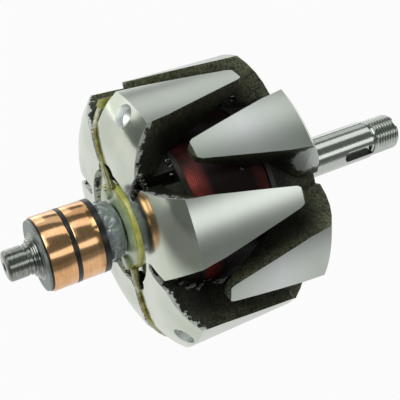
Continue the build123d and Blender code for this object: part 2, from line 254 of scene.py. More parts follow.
# %% Paper that looks white
FLOOR_SIZE = 6.0
FRONT_EDGE = (-0.19, -0.11)
LEFT_EDGE = (-0.22, -0.15)
BACK_SWEEP = (0.04, 0.14)
PAPER_GREY = (0.20, 0.20, 0.20)
SEEN_WHITE = 0.96
MIRRORED_DARK, MIRRORED_LIGHT = 0.05, 0.80
BOUNCED_LIGHT = 0.5


def white_paper():
    """Paper that the camera sees as white. Reflections see it dark in front of the rotor."""
    paper = Finish("white paper", base_color=PAPER_GREY, roughness=0.9)
    rays = paper.node("ShaderNodeLightPath", {}, {}, out=None)
    seen, glossy, through, bounced = (
        Signal(paper, rays.outputs[f"Is {kind} Ray"])
        for kind in ("Camera", "Glossy", "Transmission", "Diffuse")
    )
    glow = paper.node("ShaderNodeEmission", {}, {"Color": (1, 1, 1), "Strength": 1.0})
    near = paper.y.between(*FRONT_EDGE)
    lit = near * paper.x.between(*LEFT_EDGE) + paper.y.between(*BACK_SWEEP)
    mirrored = (glossy + through) * (MIRRORED_DARK + MIRRORED_LIGHT * lit.between(0, 1))
    glowing = seen * SEEN_WHITE + mirrored + bounced * near * BOUNCED_LIGHT
    blend = {0: glowing, 1: Signal(paper, paper.shader.outputs[0]), 2: glow}
    surface = paper.tree.nodes["Material Output"].inputs["Surface"]
    paper.fill(surface, paper.node("ShaderNodeMixShader", {}, blend))
    return paper


paper_finish = white_paper()
print(paper_finish)

# %% Floor
bm = bmesh.new()
bmesh.ops.create_grid(bm, x_segments=1, y_segments=1, size=FLOOR_SIZE / 2)
bmesh.ops.translate(bm, vec=(0, 0, -pole_radius), verts=bm.verts)
floor_mesh = bpy.data.meshes.new("floor")
bm.to_mesh(floor_mesh)
bm.free()
floor_mesh.materials.append(paper_finish.material)
floor = bpy.data.objects.new("floor", floor_mesh)
bpy.context.scene.collection.objects.link(floor)
print("floor at", round(-pole_radius, 4), "m, under the lowest claw")

# %% [markdown]
# A round bar mirrors each panel as one bright line along its length, and each gap as a dark one.
# The panels therefore lie along the shaft, and the gaps between them give the shaft and the
# rings their slate and brown bands.

# %% Soft panels
PANELS = [  # name, place, size along and across the shaft, glow
    ("overhead panel", (0.40, 0.035, 0.949), (1.8, 0.44), 0.95),
    ("far side panel", (0.45, 0.70, 0.63), (1.6, 0.50), 0.52),
    ("back strip", (0.45, 1.00, 0.05), (1.9, 0.40), 0.95),
    ("front strip", (0.40, -0.87, 0.44), (1.9, 0.32), 1.08),
    ("crown panel", (-0.40, 1.02, 0.36), (1.05, 0.95), 0.75),
    ("ring-end panel", (-0.62, -0.20, 0.85), (0.8, 0.7), 2.4),
]
GAP_COLOUR = (0.92, 1.0, 0.93, 1)
GAP_GLOW = 0.16


def panel(name, place, size, glow):
    """A soft light that points at the rotor, its first side along the shaft.

    Glow is how bright it looks, where 1 is the white of the paper.
    """
    lamp = bpy.data.lights.new(name, "AREA")
    lamp.shape = "RECTANGLE"
    lamp.size, lamp.size_y = size
    lamp.energy = 4 * glow * size[0] * size[1]
    away = Vector(place).normalized()
    along = (Vector((1, 0, 0)) - away * away.x).normalized()
    turn = Matrix((along, away.cross(along), away)).transposed()
    holder = bpy.data.objects.new(name, lamp)
    holder.matrix_world = Matrix.Translation(place) @ turn.to_4x4()
    bpy.context.scene.collection.objects.link(holder)
    print(f"{name}: {lamp.energy:.2f} W")


world = bpy.data.worlds.new("studio")
world.use_nodes = True
world.node_tree.nodes["Background"].inputs["Color"].default_value = GAP_COLOUR
world.node_tree.nodes["Background"].inputs["Strength"].default_value = GAP_GLOW
bpy.context.scene.world = world
for row in PANELS:
    panel(*row)

# %% [markdown]
# ## Finished pieces
# Most pieces of a rotor are turned, so most meshes here are either a welded copy of a CAD node
# or a half section that is spun about the shaft. A CAD node's mesh is loose triangles: they are
# joined at their corners and shaded smooth, except where two faces meet at a real edge.

# %% Helpers for shapes
SHARP = radians(28)


def about_shaft(x, radius, angle):
    """A place from its station, its radius and its angle in degrees, 0 at +Y and 90 at the top."""
    return Vector((x, radius * cos(radians(angle)), radius * sin(radians(angle))))


def weld(bm, distance=1e-6):
    """Joins corners that lie on each other."""
    bmesh.ops.remove_doubles(bm, verts=bm.verts, dist=distance)


def set_radius(vert, radius):
    """Moves a corner straight in or out to a distance from the shaft's axis."""
    scale = radius / hypot(vert.co.y, vert.co.z)
    vert.co.y *= scale
    vert.co.z *= scale


def cut_square(bm, station, side):
    """Takes away what lies past a station, towards +X if side is 1 and towards -X if it is -1."""
    geom = bm.verts[:] + bm.edges[:] + bm.faces[:]
    cut = {"plane_co": (station, 0, 0), "plane_no": (side, 0, 0), "clear_outer": True}
    bmesh.ops.bisect_plane(bm, geom=geom, **cut)


def close_ends(bm):
    """Fills every open rim with one face."""
    bmesh.ops.holes_fill(bm, edges=[edge for edge in bm.edges if edge.is_boundary], sides=0)


def cad_copy(node):
    """A welded bmesh copy of a CAD node."""
    bm = bmesh.new()
    bm.from_mesh(nodes[node].data)
    weld(bm)
    return bm


def spun(profile, steps=128):
    """A bmesh turned about the shaft from the (x, radius) points of a closed half section."""
    bm = bmesh.new()
    corners = [bm.verts.new((x, 0, radius)) for x, radius in profile]
    pairs = zip(corners, corners[1:] + corners[:1])
    edges = [bm.edges.new((a, b)) for a, b in pairs if max(a.co.z, b.co.z) > 0]
    turn = {"cent": (0, 0, 0), "axis": (1, 0, 0), "angle": 2 * pi}
    bmesh.ops.spin(bm, geom=corners + edges, steps=steps, use_merge=True, **turn)
    weld(bm, 1e-7)
    bmesh.ops.recalc_face_normals(bm, faces=bm.faces)
    return bm


# %% From a bmesh to a piece of the rotor


def shade(bm, sharp):
    """Smooth faces, with sharp edges where the surface really turns."""
    for face in bm.faces:
        face.smooth = True
    for edge in bm.edges:
        edge.smooth = len(edge.link_faces) == 2 and edge.calc_face_angle(0) < sharp


def piece(name, bm, finishes, slot, *stands_for, sharp=SHARP):
    """Makes a finished object of a bmesh, and lets it ride on the rotor."""
    shade(bm, sharp)
    mesh = bpy.data.meshes.new(name)
    bm.to_mesh(mesh)
    bm.free()
    for finish in finishes:
        mesh.materials.append(finish.material)
    obj = bpy.data.objects.new(name, mesh)
    bpy.context.scene.collection.objects.link(obj)
    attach(obj, "root")
    if stands_for:
        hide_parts(*stands_for)
    print(f"{name}: {sum(len(p.vertices) - 2 for p in mesh.polygons)} triangles")
    return obj


# %% [markdown]
# ## Steel of the poles
# Each pole is one forging, and three finishes meet on it. The crown was turned on a lathe, the
# outside was ground after assembly so that it runs true, and the flanks keep the dark forged
# skin. The crown's rings are noise that changes fast with the radius and not at all round it.

# %% Turned crown
CROWN_START = 33.0 * MM
CROWN_ARC = 28.2 * MM


def turned_crown():
    """Smooth turned steel with rings that run round the shaft."""
    steel = Finish("turned crown", metallic=1.0)
    rings = steel.speckle(1.0, 3.0, 0.6, steel.along(steel.radius() * 2600, steel.x * 900, 0.0))
    cloud = steel.speckle(45.0, 3.0).between(0.35, 0.68)
    steel.set(base_color=steel.mix(cloud, (0.55, 0.60, 0.50), (0.70, 0.73, 0.64)))
    steel.set(roughness=0.13 + 0.07 * rings)
    steel.bump(rings, 0.004 * MM)
    return steel


crown_steel = turned_crown()
print(crown_steel)

# %% [markdown]
# The ground faces carry fine scratches round the shaft and soft clouds. On the drive-end claws
# the tips and the roots get painted shade, in clouds at the roots, that fades towards the middle.

# %% Ground claw faces
PAINTED_SHADE_TONE = (0.36, 0.42, 0.33)
TIP_SHADE, ROOT_SHADE = 0.7, 0.65


def ground_face(name, worn, fresh, matt, tip=None, root=None):
    """Outer faces of the claws, ground round the shaft, with painted shade at tips and roots if
    given.
    """
    steel = Finish(name, metallic=1.0)
    scratches = steel.tool_marks(3800, 6, 4.0, 0.65)
    cloud = steel.speckle(38.0, 3.0)
    tone = (cloud * 0.7 + scratches * 0.3).between(0.35, 0.65)
    colour = steel.mix(tone, worn, fresh)
    if root is not None:
        # Painted shade: the tips and the roots are darkened towards a dull grey-green, in clouds
        # at the roots.
        middle = (tip + root) / 2
        stain = ROOT_SHADE * steel.x.between(middle, root) * cloud.between(0.2, 0.5)
        stain = stain + TIP_SHADE * steel.x.between(middle, tip)
        colour = steel.mix(stain, colour, PAINTED_SHADE_TONE)
    steel.set(base_color=colour, roughness=matt + 0.08 * scratches)
    steel.bump(scratches, 0.003 * MM)
    return steel


plain_ground = ground_face("ground claw face", (0.59, 0.632, 0.580), (0.65, 0.694, 0.637), 0.25)
shaded_ground = ground_face(
    "claw face with painted shade",
    worn=(0.574, 0.601, 0.594),
    fresh=(0.627, 0.653, 0.647),
    matt=0.34,
    tip=rear_tips,
    root=rear_shoulder,
)
print(plain_ground, shaded_ground, sep="\n")

# %% [markdown]
# Forging leaves a dark scale. It is olive where hands and oil reach it, on the rims and the rear
# web. Deep between the arms it is darkened to near black as painted shade, and the rims on the
# +Y side are painted lighter as painted light. Where the lathe cut through the scale it broke off
# in chips, so a ragged band of bare steel follows the crown's edge. That edge is an arc, and the
# shader works out how far below it each point lies.

# %% Forged flanks
RIM = (45.5 * MM, 53.0 * MM)
LIT_SIDE = (-4 * MM, 6 * MM)
REAR_WEB = (rear_shoulder - 5 * MM, rear_shoulder + 1 * MM)
CHIP_DEPTH = 2.6 * MM
TRIMMED_PLACE = about_shaft(rear_shoulder + 1.5 * MM, 46 * MM, 138)
TRIMMED_EDGE = (10.5 * MM, 12.0 * MM)
SHADED_DEEP_SCALE = (0.004, 0.005, 0.003), (0.034, 0.038, 0.023)
SCALE_RIM = (0.014, 0.017, 0.009), (0.26, 0.285, 0.15)
BARE_STEEL = (0.72, 0.76, 0.73)


def chipped_edge(steel):
    """1 where the scale broke off along the crown's edge, and 0 elsewhere."""
    beyond = (steel.radius() - CROWN_START).between(0, 1)
    rise = (CROWN_ARC**2 - beyond**2.0) ** 0.5
    under = steel.x - ring_face - CROWN_ARC + rise
    chips = CHIP_DEPTH * steel.speckle(420.0, 4.0, 0.7).between(0.42, 0.62)
    return 1.0 - (under - chips).between(0.2 * MM, 0.6 * MM)


def forged_flank():
    """Dark scale of the forging with painted shade and light, and bare steel where trimmed or
    chipped.
    """
    steel = Finish("forged flank")
    steel.fill(steel.shader.inputs["IOR"], 1.3)
    grain = steel.speckle(1100.0, 4.0, 0.75)
    patches = steel.speckle(240.0, 4.0, 0.65)
    # Painted shade and light: the scale is near black deep between the arms, and rims are lighter
    # at +Y.
    rim_and_lit_side = steel.radius().between(*RIM) * (0.45 + 0.55 * steel.y.between(*LIT_SIDE))
    rim = (rim_and_lit_side + 0.45 * steel.x.between(*REAR_WEB)).between(0, 1)
    tone = (patches * 0.22 + grain * 0.78).between(0.40, 0.68)
    scale = steel.mix(rim, steel.mix(tone, *SHADED_DEEP_SCALE), steel.mix(tone, *SCALE_RIM))
    place = TRIMMED_PLACE
    gap = (steel.x - place.x) ** 2.0 + (steel.y - place.y) ** 2.0 + (steel.z - place.z) ** 2.0
    trimmed = 0.9 - 0.9 * (gap**0.5 + 8 * MM * patches).between(*TRIMMED_EDGE)
    bare = (chipped_edge(steel) + trimmed).between(0, 1)
    steel.set(base_color=steel.mix(bare, scale, BARE_STEEL))
    steel.set(metallic=0.9 * bare, roughness=0.30 + 0.3 * patches)
    steel.bump(grain, 0.6 * MM, 0.7)
    return steel


forged = forged_flank()
print(forged)

# %% Drilled steel
drilled = Finish("drilled steel", metallic=1.0, base_color=(0.86, 0.89, 0.87))
drilled.set(roughness=0.26 + 0.2 * drilled.speckle(700.0))
print(drilled)

# %% [markdown]
# ## Which face gets which steel
# One pole is one mesh, so its finish is chosen face by face. A face on the outer cylinder is
# ground, one that looks out along the shaft is crown, and the rest is forged. Two claws of the
# slip-ring end were drilled to balance the rotor, and a face belongs to a drilling if all its
# corners lie close to the drill's axis.

# %% Balance drillings
CROWN, GROUND, DRILLED, FORGED = range(4)
BALANCED = (90, 210)
DRILLING_MOUTH = (49.0 * MM, 5.0 * MM)  # radius, and depth below the hub's face
DRILLING_LEAN = radians(34.6)  # from the shaft
DRILLING_RADIUS = 4.45 * MM
DRILLING_REACH = 12 * MM


def drill_axis(angle, depth):
    """A point on a drilling's axis, some metres below its mouth."""
    radius, below = DRILLING_MOUTH
    station = ring_face + below + depth * cos(DRILLING_LEAN)
    return about_shaft(station, radius - depth * sin(DRILLING_LEAN), angle)


def in_drilling(face, angle):
    """True if all corners of a face lie within a drilling."""
    start = drill_axis(angle, 0)
    axis = (drill_axis(angle, 1) - start).normalized()
    away = [vert.co - start for vert in face.verts]
    if max(abs(gap.dot(axis)) for gap in away) > DRILLING_REACH:
        return False
    return max((gap - axis * gap.dot(axis)).length for gap in away) < DRILLING_RADIUS


for angle in BALANCED:
    print("drilling's mouth", [round(part, 4) for part in drill_axis(angle, 0)])

# %% Finish of a face


def finish_of(face, shoulder, outward, drilled_claws):
    """Picks a pole face's finish. Outward is -1 or 1, the way along X that its hub looks."""
    middle = face.calc_center_median()
    radius = hypot(middle.y, middle.z)
    facing_out = (Vector((0, middle.y, middle.z)) / radius).dot(face.normal)
    if any(in_drilling(face, angle) for angle in drilled_claws):
        return DRILLED
    if facing_out > 0.99 and radius > 0.97 * pole_radius:
        return GROUND
    if (middle.x - shoulder) * outward > 0 and face.normal.x * outward > 0.6:
        return CROWN
    return FORGED


# %% [markdown]
# The CAD model's cylinder is made of flat strips of uneven width, and polished metal shows every
# one of them as a streak. The strips are cut to an even width, and each corner on the ground
# faces is given the exact normal of a cylinder, so that the mirrored panels run smoothly across.

# %% An even cylinder with exact normals
GROUND_STRIP = 4  # degrees


def even_cylinder(bm):
    """Cuts the ground faces in strips of equal angle, all with corners at the same radius."""

    def ground_faces():
        return [face for face in bm.faces if face.material_index == GROUND]

    for turn in range(0, 180, GROUND_STRIP):
        ground = ground_faces()
        parts = ground + list({edge for face in ground for edge in face.edges})
        parts += list({vert for face in ground for vert in face.verts})
        across = (0, -sin(radians(turn)), cos(radians(turn)))
        cut = {"plane_co": (0, 0, 0), "plane_no": across, "dist": 0.02 * MM}
        bmesh.ops.bisect_plane(bm, geom=parts, **cut)
    for vert in {vert for face in ground_faces() for vert in face.verts}:
        set_radius(vert, pole_radius)


def cylinder_normals(mesh):
    """Gives the ground faces the exact normals of the cylinder that they were ground to."""
    normals = [Vector((0, 0, 0))] * len(mesh.loops)
    for face in mesh.polygons:
        outward = Vector((0, face.center.y, face.center.z)).normalized()
        if face.material_index == GROUND and face.normal.dot(outward) > 0.98:
            for loop in face.loop_indices:
                corner = mesh.vertices[mesh.loops[loop].vertex_index].co
                normals[loop] = Vector((0, corner.y, corner.z)).normalized()
    mesh.normals_split_custom_set(normals)


print("strips round the cylinder:", 360 // GROUND_STRIP)

# %% [markdown]
# Where a cutter met the forged skin it left a thin bright burr. It could be painted on, but a
# real edge is never quite sharp and catches light of its own, so those edges get a narrow bevel
# with the ground finish.

# %% The two poles
BURR = 0.26 * MM
BURR_ANGLE = radians(30)


def is_burr(edge):
    """True for a real edge between the forged skin and a surface that was cut."""
    finishes = [face.material_index for face in edge.link_faces]
    cut_meets_skin = len(finishes) == 2 and max(finishes) == FORGED > min(finishes)
    return cut_meets_skin and edge.calc_face_angle(0) > BURR_ANGLE


def pole_piece(name, node, ground, shoulder, outward, drilled_claws=()):
    """A pole with its finish chosen face by face from where the face lies."""
    bm = cad_copy(node)
    bmesh.ops.dissolve_limit(bm, angle_limit=radians(0.6), verts=bm.verts, edges=bm.edges)
    for face in bm.faces:
        face.material_index = finish_of(face, shoulder, outward, drilled_claws)
    even_cylinder(bm)
    burrs = [edge for edge in bm.edges if is_burr(edge)]
    shape = {"segments": 1, "profile": 0.5, "clamp_overlap": True}
    bmesh.ops.bevel(bm, geom=burrs, offset=BURR, affect="EDGES", material=GROUND, **shape)
    print(name, "burr edges", len(burrs))
    weld(bm, 0.003 * MM)
    bmesh.ops.triangulate(bm, faces=[face for face in bm.faces if len(face.verts) > 4])
    pole = piece(name, bm, [crown_steel, ground, drilled, forged], "pole_steel", node)
    cylinder_normals(pole.data)


pole_piece(
    "slip_ring_end_claws", "pole_slip_ring_end", plain_ground, front_shoulder, -1, BALANCED
)
pole_piece("drive_end_claws", "pole_drive_end", shaded_ground, rear_shoulder, 1)
for slot in nodes["core"].material_slots:
    slot.material = forged.material
print("the core keeps its CAD shape, its", len(nodes["core"].material_slots), "slot now forged")

# %% [markdown]
# ## Shaft
# The shaft is one turned bar. Its CAD shape is right except at the two ends, so the copy keeps
# the middle. Under the thread it is turned down, and the slip-ring end is cut off square: that
# stub has small steps and marks that a spun half section shows better.

# %% Shaft finishes


def turned_bar(name, fineness, low, high, gloss, depth):
    """Bar steel with marks round it. Gloss is its roughness at 0 and its change over the marks."""
    steel = Finish(name, metallic=1.0)
    rings = steel.tool_marks(fineness, 1.5)
    steel.set(base_color=steel.mix(rings.between(0.3, 0.7), low, high))
    steel.set(roughness=gloss[0] + gloss[1] * rings)
    steel.bump(rings, depth)
    return steel


bar = turned_bar(
    "ground shaft", 2600, (0.42, 0.45, 0.42), (0.57, 0.60, 0.56), (0.12, 0.10), 0.004 * MM
)
stub = turned_bar(
    "stub steel", 2300, (0.15, 0.16, 0.14), (0.38, 0.40, 0.37), (0.14, 0.14), 0.012 * MM
)
keyway = Finish("keyway steel", metallic=0.6, base_color=(0.035, 0.038, 0.033), roughness=0.35)
print(bar, stub, keyway, sep="\n")

# %% Middle of the shaft
THREAD_LENGTH = 13.6 * MM
THREAD_ROOT = 7.1 * MM
STUB_LENGTH = 14.0 * MM
KEYWAY_LIMIT = -3 * MM  # the keyway faces -Y, and all of it lies beyond this
DRIVE_SEAT = 0.0  # the keyway lies between the middle of this seat and the thread
thread_start = thread_end - THREAD_LENGTH
stub_cut = stub_end + STUB_LENGTH


def in_keyway(face):
    """True for a wall or the floor of the keyway."""
    middle = face.calc_center_median()
    outward = Vector((0, middle.y, middle.z)).normalized()
    on_bar = abs(face.normal.x) > 0.5 or outward.dot(face.normal) > 0.93
    return middle.y < KEYWAY_LIMIT and DRIVE_SEAT < middle.x < thread_start and not on_bar


bm = cad_copy("shaft")
blank = THREAD_ROOT - 0.2 * MM
for vert in bm.verts:
    if vert.co.x > thread_start + 0.2 * MM and hypot(vert.co.y, vert.co.z) > blank:
        set_radius(vert, blank)
cut_square(bm, stub_cut, -1)
close_ends(bm)
for face in bm.faces:
    face.material_index = int(in_keyway(face))
piece("turned_shaft", bm, [bar, keyway], "shaft_steel", "shaft")

# %% Stub
STUB_SECTION = [  # station from the stub's end and radius, in mm
    (14.0, 9.4),
    (12.1, 9.4),
    (11.9, 9.2),
    (11.7, 8.5),
    (11.2, 8.4),
    (11.0, 7.9),
    (10.6, 7.8),
    (10.4, 7.2),
    (9.8, 7.1),
    (9.5, 6.1),
    (8.3, 6.0),
    (8.2, 5.5),
    (7.4, 5.5),
    (7.3, 6.0),
    (1.0, 6.0),
    (0.4, 5.6),
    (0.1, 5.0),
    (0.0, 4.6),
    (0.0, 2.1),
    (0.7, 1.5),
    (2.4, 0.0),
]
section = [(stub_end + x * MM, radius * MM) for x, radius in STUB_SECTION]
piece("stub_end", spun([(stub_cut, 0)] + section), [stub], "shaft_steel", sharp=radians(20))

# %% [markdown]
# ## Thread
# A thread can be faked with rings, but rings don't climb, and the eye sees that where the thread
# runs out. Here one V of its section is spun round and pushed along at the same time, and the
# neighbouring turns are welded. Two cuts square off its ends, and a taper leads it in.

# %% Thread
THREAD_PITCH = 1.5 * MM
THREAD_OUTSIDE = 8.0 * MM
THREAD_SECTION = [  # share of the pitch, and radius
    (0.0, THREAD_ROOT),
    (0.40, THREAD_OUTSIDE),
    (0.60, THREAD_OUTSIDE),
    (1.0, THREAD_ROOT),
]
STEPS_ROUND = 64
LEAD_IN = 0.8  # rise of the end taper over its length


def screw_thread():
    """A right-hand thread with flattened crests, closed at both ends."""
    turns = int(THREAD_LENGTH / THREAD_PITCH) + 3
    first = thread_start - 1.5 * THREAD_PITCH
    bm = bmesh.new()
    corners = [
        bm.verts.new((first + share * THREAD_PITCH, 0, radius)) for share, radius in THREAD_SECTION
    ]
    edges = [bm.edges.new(pair) for pair in zip(corners, corners[1:])]
    climb = (THREAD_PITCH / STEPS_ROUND, 0, 0)
    turn = {"cent": (0, 0, 0), "axis": (1, 0, 0), "dvec": climb, "angle": 2 * pi * turns}
    bmesh.ops.spin(bm, geom=corners + edges, steps=STEPS_ROUND * turns, **turn)
    weld(bm, 2e-6)
    cut_square(bm, thread_start + 0.15 * MM, -1)
    cut_square(bm, thread_end - 0.25 * MM, 1)
    for vert in bm.verts:
        to_end = min(vert.co.x - thread_start, thread_end - vert.co.x)
        limit = THREAD_ROOT + 0.1 * MM + LEAD_IN * max(to_end, 0)
        if hypot(vert.co.y, vert.co.z) > limit:
            set_radius(vert, limit)
    close_ends(bm)
    bmesh.ops.recalc_face_normals(bm, faces=bm.faces)
    return bm


piece("pulley_thread", screw_thread(), [bar], "shaft_steel")

# %% [markdown]
# ## Slip rings
# Each ring is a copper sleeve that was turned on its own shaft, so that the brushes run true on
# it. Its edges are broken a little. Fine marks run round it, and brush wear clouds its colour.

# %% Copper
COPPER_WORN, COPPER_FRESH = (0.66, 0.34, 0.15), (0.88, 0.56, 0.31)


def ring_copper():
    """Copper slip ring, fine turned, with a few deeper marks."""
    copper = Finish("slip-ring copper", metallic=1.0)
    marks = copper.tool_marks(2400, 1.2, 4.0, 0.7)
    wear = copper.speckle(70.0, 3.0, 0.6)
    tone = (wear * 0.45 + marks * 0.55).between(0.36, 0.64)
    copper.set(base_color=copper.mix(tone, COPPER_WORN, COPPER_FRESH))
    copper.set(roughness=0.11 + 0.09 * marks)
    copper.bump(marks, 0.003 * MM)
    return copper


copper = ring_copper()
print(copper)

# %% Slip rings
RING_WALL = 2.4 * MM
RING_EDGE = 0.35 * MM


def ring_profile(low, high):
    """Half section of a ring with softened outer edges."""
    inner = ring_radius - RING_WALL
    return [
        (low, inner),
        (low, ring_radius - RING_EDGE),
        (low + 0.3 * RING_EDGE, ring_radius - 0.3 * RING_EDGE),
        (low + RING_EDGE, ring_radius),
        (high - RING_EDGE, ring_radius),
        (high - 0.3 * RING_EDGE, ring_radius - 0.3 * RING_EDGE),
        (high, ring_radius - RING_EDGE),
        (high, inner),
    ]


for name, node in (("inner_ring", "slip_ring_inner"), ("outer_ring", "slip_ring_outer")):
    piece(name, spun(ring_profile(*span(node))), [copper], "slip_ring_copper", node)

# %% [markdown]
# The rings sit on a black moulded sleeve, and a pale washer lies behind the shaft's flange.
# Their CAD shapes are right, so each is a copy with a new finish.

# %% Sleeve and washer
black = Finish("black sleeve", base_color=(0.010, 0.012, 0.012), roughness=0.32)
pale_washer = Finish("pale washer", metallic=0.6, base_color=(0.26, 0.29, 0.27), roughness=0.4)
piece("ring_sleeve", cad_copy("ring_insulator"), [black], "black_insulator", "ring_insulator")
piece("pale_washer", cad_copy("front_washer"), [pale_washer], "washer", "front_washer")

# %% [markdown]
# ## Coil and bobbin
# The field coil is one long enamelled wire, wound in layers on a bobbin. Only the outside layer
# shows, between the claws. Winding a real helix would cost many faces for turns that nobody
# sees, so a half section with one scallop for each turn is spun about the shaft.

# %% Enamelled wire
SHADED_ENAMEL, LIT_ENAMEL = (0.008, 0.002, 0.002), (0.30, 0.045, 0.036)


def enamelled_wire():
    """Dark red enamel, with painted light near the flanges on the -Y side and painted shade
    elsewhere.
    """
    enamel = Finish("red enamelled wire", coat_weight=0.06, coat_roughness=0.12)
    enamel.fill(enamel.shader.inputs["IOR"], 1.22)
    # Painted light: the wire is lit red in patches near the flanges on the -Y side, near black as
    # painted shade elsewhere.
    light_patches = enamel.speckle(90.0, 3.0).between(0.3, 0.55)
    front = enamel.x.between(coil_start + 9 * MM, coil_start + 3 * MM)
    rear = enamel.x.between(coil_end - 6 * MM, coil_end - 2 * MM)
    lit_near_side = enamel.y.between(-0.3 * coil_radius, -0.6 * coil_radius)
    painted_light = (front + 0.3 * rear) * light_patches * (0.15 + 0.85 * lit_near_side)
    enamel.set(base_color=enamel.mix(painted_light, SHADED_ENAMEL, LIT_ENAMEL))
    enamel.set(roughness=0.45 - 0.1 * painted_light)
    return enamel


wire_enamel = enamelled_wire()
print(wire_enamel)

# %% Coil and bobbin
COIL_WIRE = 0.86 * MM
SCALLOP = (0.04, 0.22, 0.5, 0.78, 0.96)  # shares of the pitch at which a turn's arc is drawn
COIL_STEPS = 144


def coil_profile():
    """Half section of the coil with a round scallop for each turn of its outside layer."""
    turns = round((coil_end - coil_start) / COIL_WIRE)
    pitch = (coil_end - coil_start) / turns
    inner = 0.75 * coil_radius
    profile = [(coil_start, inner)]
    for n in range(turns):
        for share in SCALLOP:
            sag = pitch / 2 * (1 - sqrt(1 - (2 * share - 1) ** 2))
            profile.append((coil_start + (n + share) * pitch, coil_radius - 0.05 * MM - sag))
    return profile + [(coil_end, inner)]


coil = spun(coil_profile(), COIL_STEPS)
piece("field_coil", coil, [wire_enamel], "winding_copper", "field_winding", sharp=radians(75))
moulding = Finish("bobbin moulding", base_color=(0.007, 0.008, 0.005), roughness=0.45)
piece("coil_bobbin", cad_copy("bobbin"), [moulding], "bobbin_plastic", "bobbin")

# %% [markdown]
# ## Lead retainer
# A plate of glass fibre holds the two leads against the hub. It is milky green where it is thick
# and yellower at its rim, with a brown line where the cement shows through. All of that follows
# the distance from the shaft, so the finish reads the radius.

# %% Milky plate
MILKY = (0.36, 0.46, 0.27), (0.52, 0.62, 0.38)
YELLOW_RIM = (0.42, 0.44, 0.08), (0.60, 0.60, 0.16)
CEMENT = (0.10, 0.07, 0.015)
CEMENT_RADIUS = 16.90 * MM


def milky_plate():
    """Green fibre plate, with its colours set by the distance from the shaft."""
    plate = Finish("retainer plate", roughness=0.20, coat_weight=0.45, coat_roughness=0.10)
    radius = plate.radius()
    cloud = plate.speckle(260.0, 3.0)
    tone = cloud.between(0.35, 0.65)
    rim = (radius + 0.8 * MM * cloud).between(15.0 * MM, 17.4 * MM)
    face = plate.mix(rim, plate.mix(tone, *MILKY), plate.mix(tone, *YELLOW_RIM))
    off_line = abs(radius - CEMENT_RADIUS + 0.3 * MM * cloud)
    line = (1.0 - off_line.between(0.06 * MM, 0.22 * MM)) * cloud.between(0.35, 0.5)
    plate.set(base_color=plate.mix(line, face, CEMENT))
    plate.bump(cloud, 0.2 * MM, 0.4)
    return plate


plate_finish = milky_plate()
print(plate_finish)

# %% Retainer
PLATE_EDGE = 17.1 * MM
PLATE_DEPTH = 1.9 * MM
PLATE_BORE = 8.5 * MM
LUG_RADIUS = 3.2 * MM
LUG_CIRCLE = 14.5 * MM
LUG_ANGLES = (60, 240)
lug_top, plate_back = span("lead_retainer")
plate_face = plate_back - PLATE_DEPTH
PLATE_SECTION = [
    (plate_back, PLATE_BORE),
    (plate_face - 0.5 * MM, PLATE_BORE),
    (plate_face - 0.5 * MM, 11.5 * MM),
    (plate_face - 0.25 * MM, 15.0 * MM),
    (plate_face, PLATE_EDGE - 0.3 * MM),
    (plate_face + 0.15 * MM, PLATE_EDGE),
    (plate_face + 1.0 * MM, retainer_radius - 0.1 * MM),
    (plate_back, retainer_radius),
]


def add_lug(bm, angle):
    """Adds a round lug with softened edges to a bmesh."""
    lug = bmesh.new()
    middle = about_shaft((lug_top + plate_back) / 2, LUG_CIRCLE, angle)
    upright = Matrix.Translation(middle) @ Matrix.Rotation(-pi / 2, 4, "Y")
    size = {"radius1": LUG_RADIUS, "radius2": 0.93 * LUG_RADIUS, "depth": plate_back - lug_top}
    bmesh.ops.create_cone(lug, cap_ends=True, segments=40, matrix=upright, **size)
    rims = [edge for edge in lug.edges if edge.calc_face_angle(0) > radians(40)]
    shape = {"segments": 3, "profile": 0.5, "affect": "EDGES", "material": -1}
    bmesh.ops.bevel(lug, geom=rims, offset=0.5 * MM, **shape)
    mesh = bpy.data.meshes.new("lug")
    lug.to_mesh(mesh)
    lug.free()
    bm.from_mesh(mesh)
    bpy.data.meshes.remove(mesh)


bm = spun(PLATE_SECTION)
for angle in LUG_ANGLES:
    add_lug(bm, angle)
piece(
    "retainer_disc", bm, [plate_finish], "retainer_plastic", "lead_retainer", sharp=radians(50)
)

# %% [markdown]
# ## Resin
# Grey resin was brushed on by hand behind the rings and set in soft lumps. A spun collar gives
# the even shape underneath, and smooth noise then pushes its outside in. Noise on the mesh is
# used rather than bump, because the lumps show against the light at the collar's edge.

# %% Resin collar
RESIN_OVERLAP = 2.6 * MM
RESIN_BANDS = 18
RESIN_STEPS = 160
LUMP_DEPTH = 1.3 * MM
resin_start, resin_end = span("resin_collar")
resin_end += RESIN_OVERLAP
resin_radius = reach("resin_collar")
resin = Finish("potting resin", base_color=(0.24, 0.29, 0.29), roughness=0.07, coat_weight=0.9)


def lumpy_collar():
    """A spun collar whose outside is pushed in by smooth noise."""
    inner = 0.76 * resin_radius
    section = [(resin_start, inner)]
    for n in range(RESIN_BANDS + 1):
        share = n / RESIN_BANDS
        drop = 1.6 * MM * abs(2 * share - 1) ** 4 + 1.5 * MM * share**2
        station = resin_start + share * (resin_end - resin_start)
        section.append((station, resin_radius - drop))
    bm = spun(section + [(resin_end, inner)], RESIN_STEPS)
    for vert in bm.verts:
        radius = hypot(vert.co.y, vert.co.z)
        if radius > 1.05 * inner:
            lump = noise.noise(vert.co * 260) + 0.5 * noise.noise(vert.co * 620)
            set_radius(vert, radius - LUMP_DEPTH * max(0.0, 0.5 + lump))
    return bm


piece("potting", lumpy_collar(), [resin], "resin", "resin_collar", sharp=radians(80))

# %% [markdown]
# ## Varnish
# The rotor was dipped in varnish to lock its wires. It ran into the slots and under the claws
# and set there in glossy drops. Each drop is a small sphere, squeezed and pushed about by noise,
# and its place was read off the photograph and put on the steel under it.

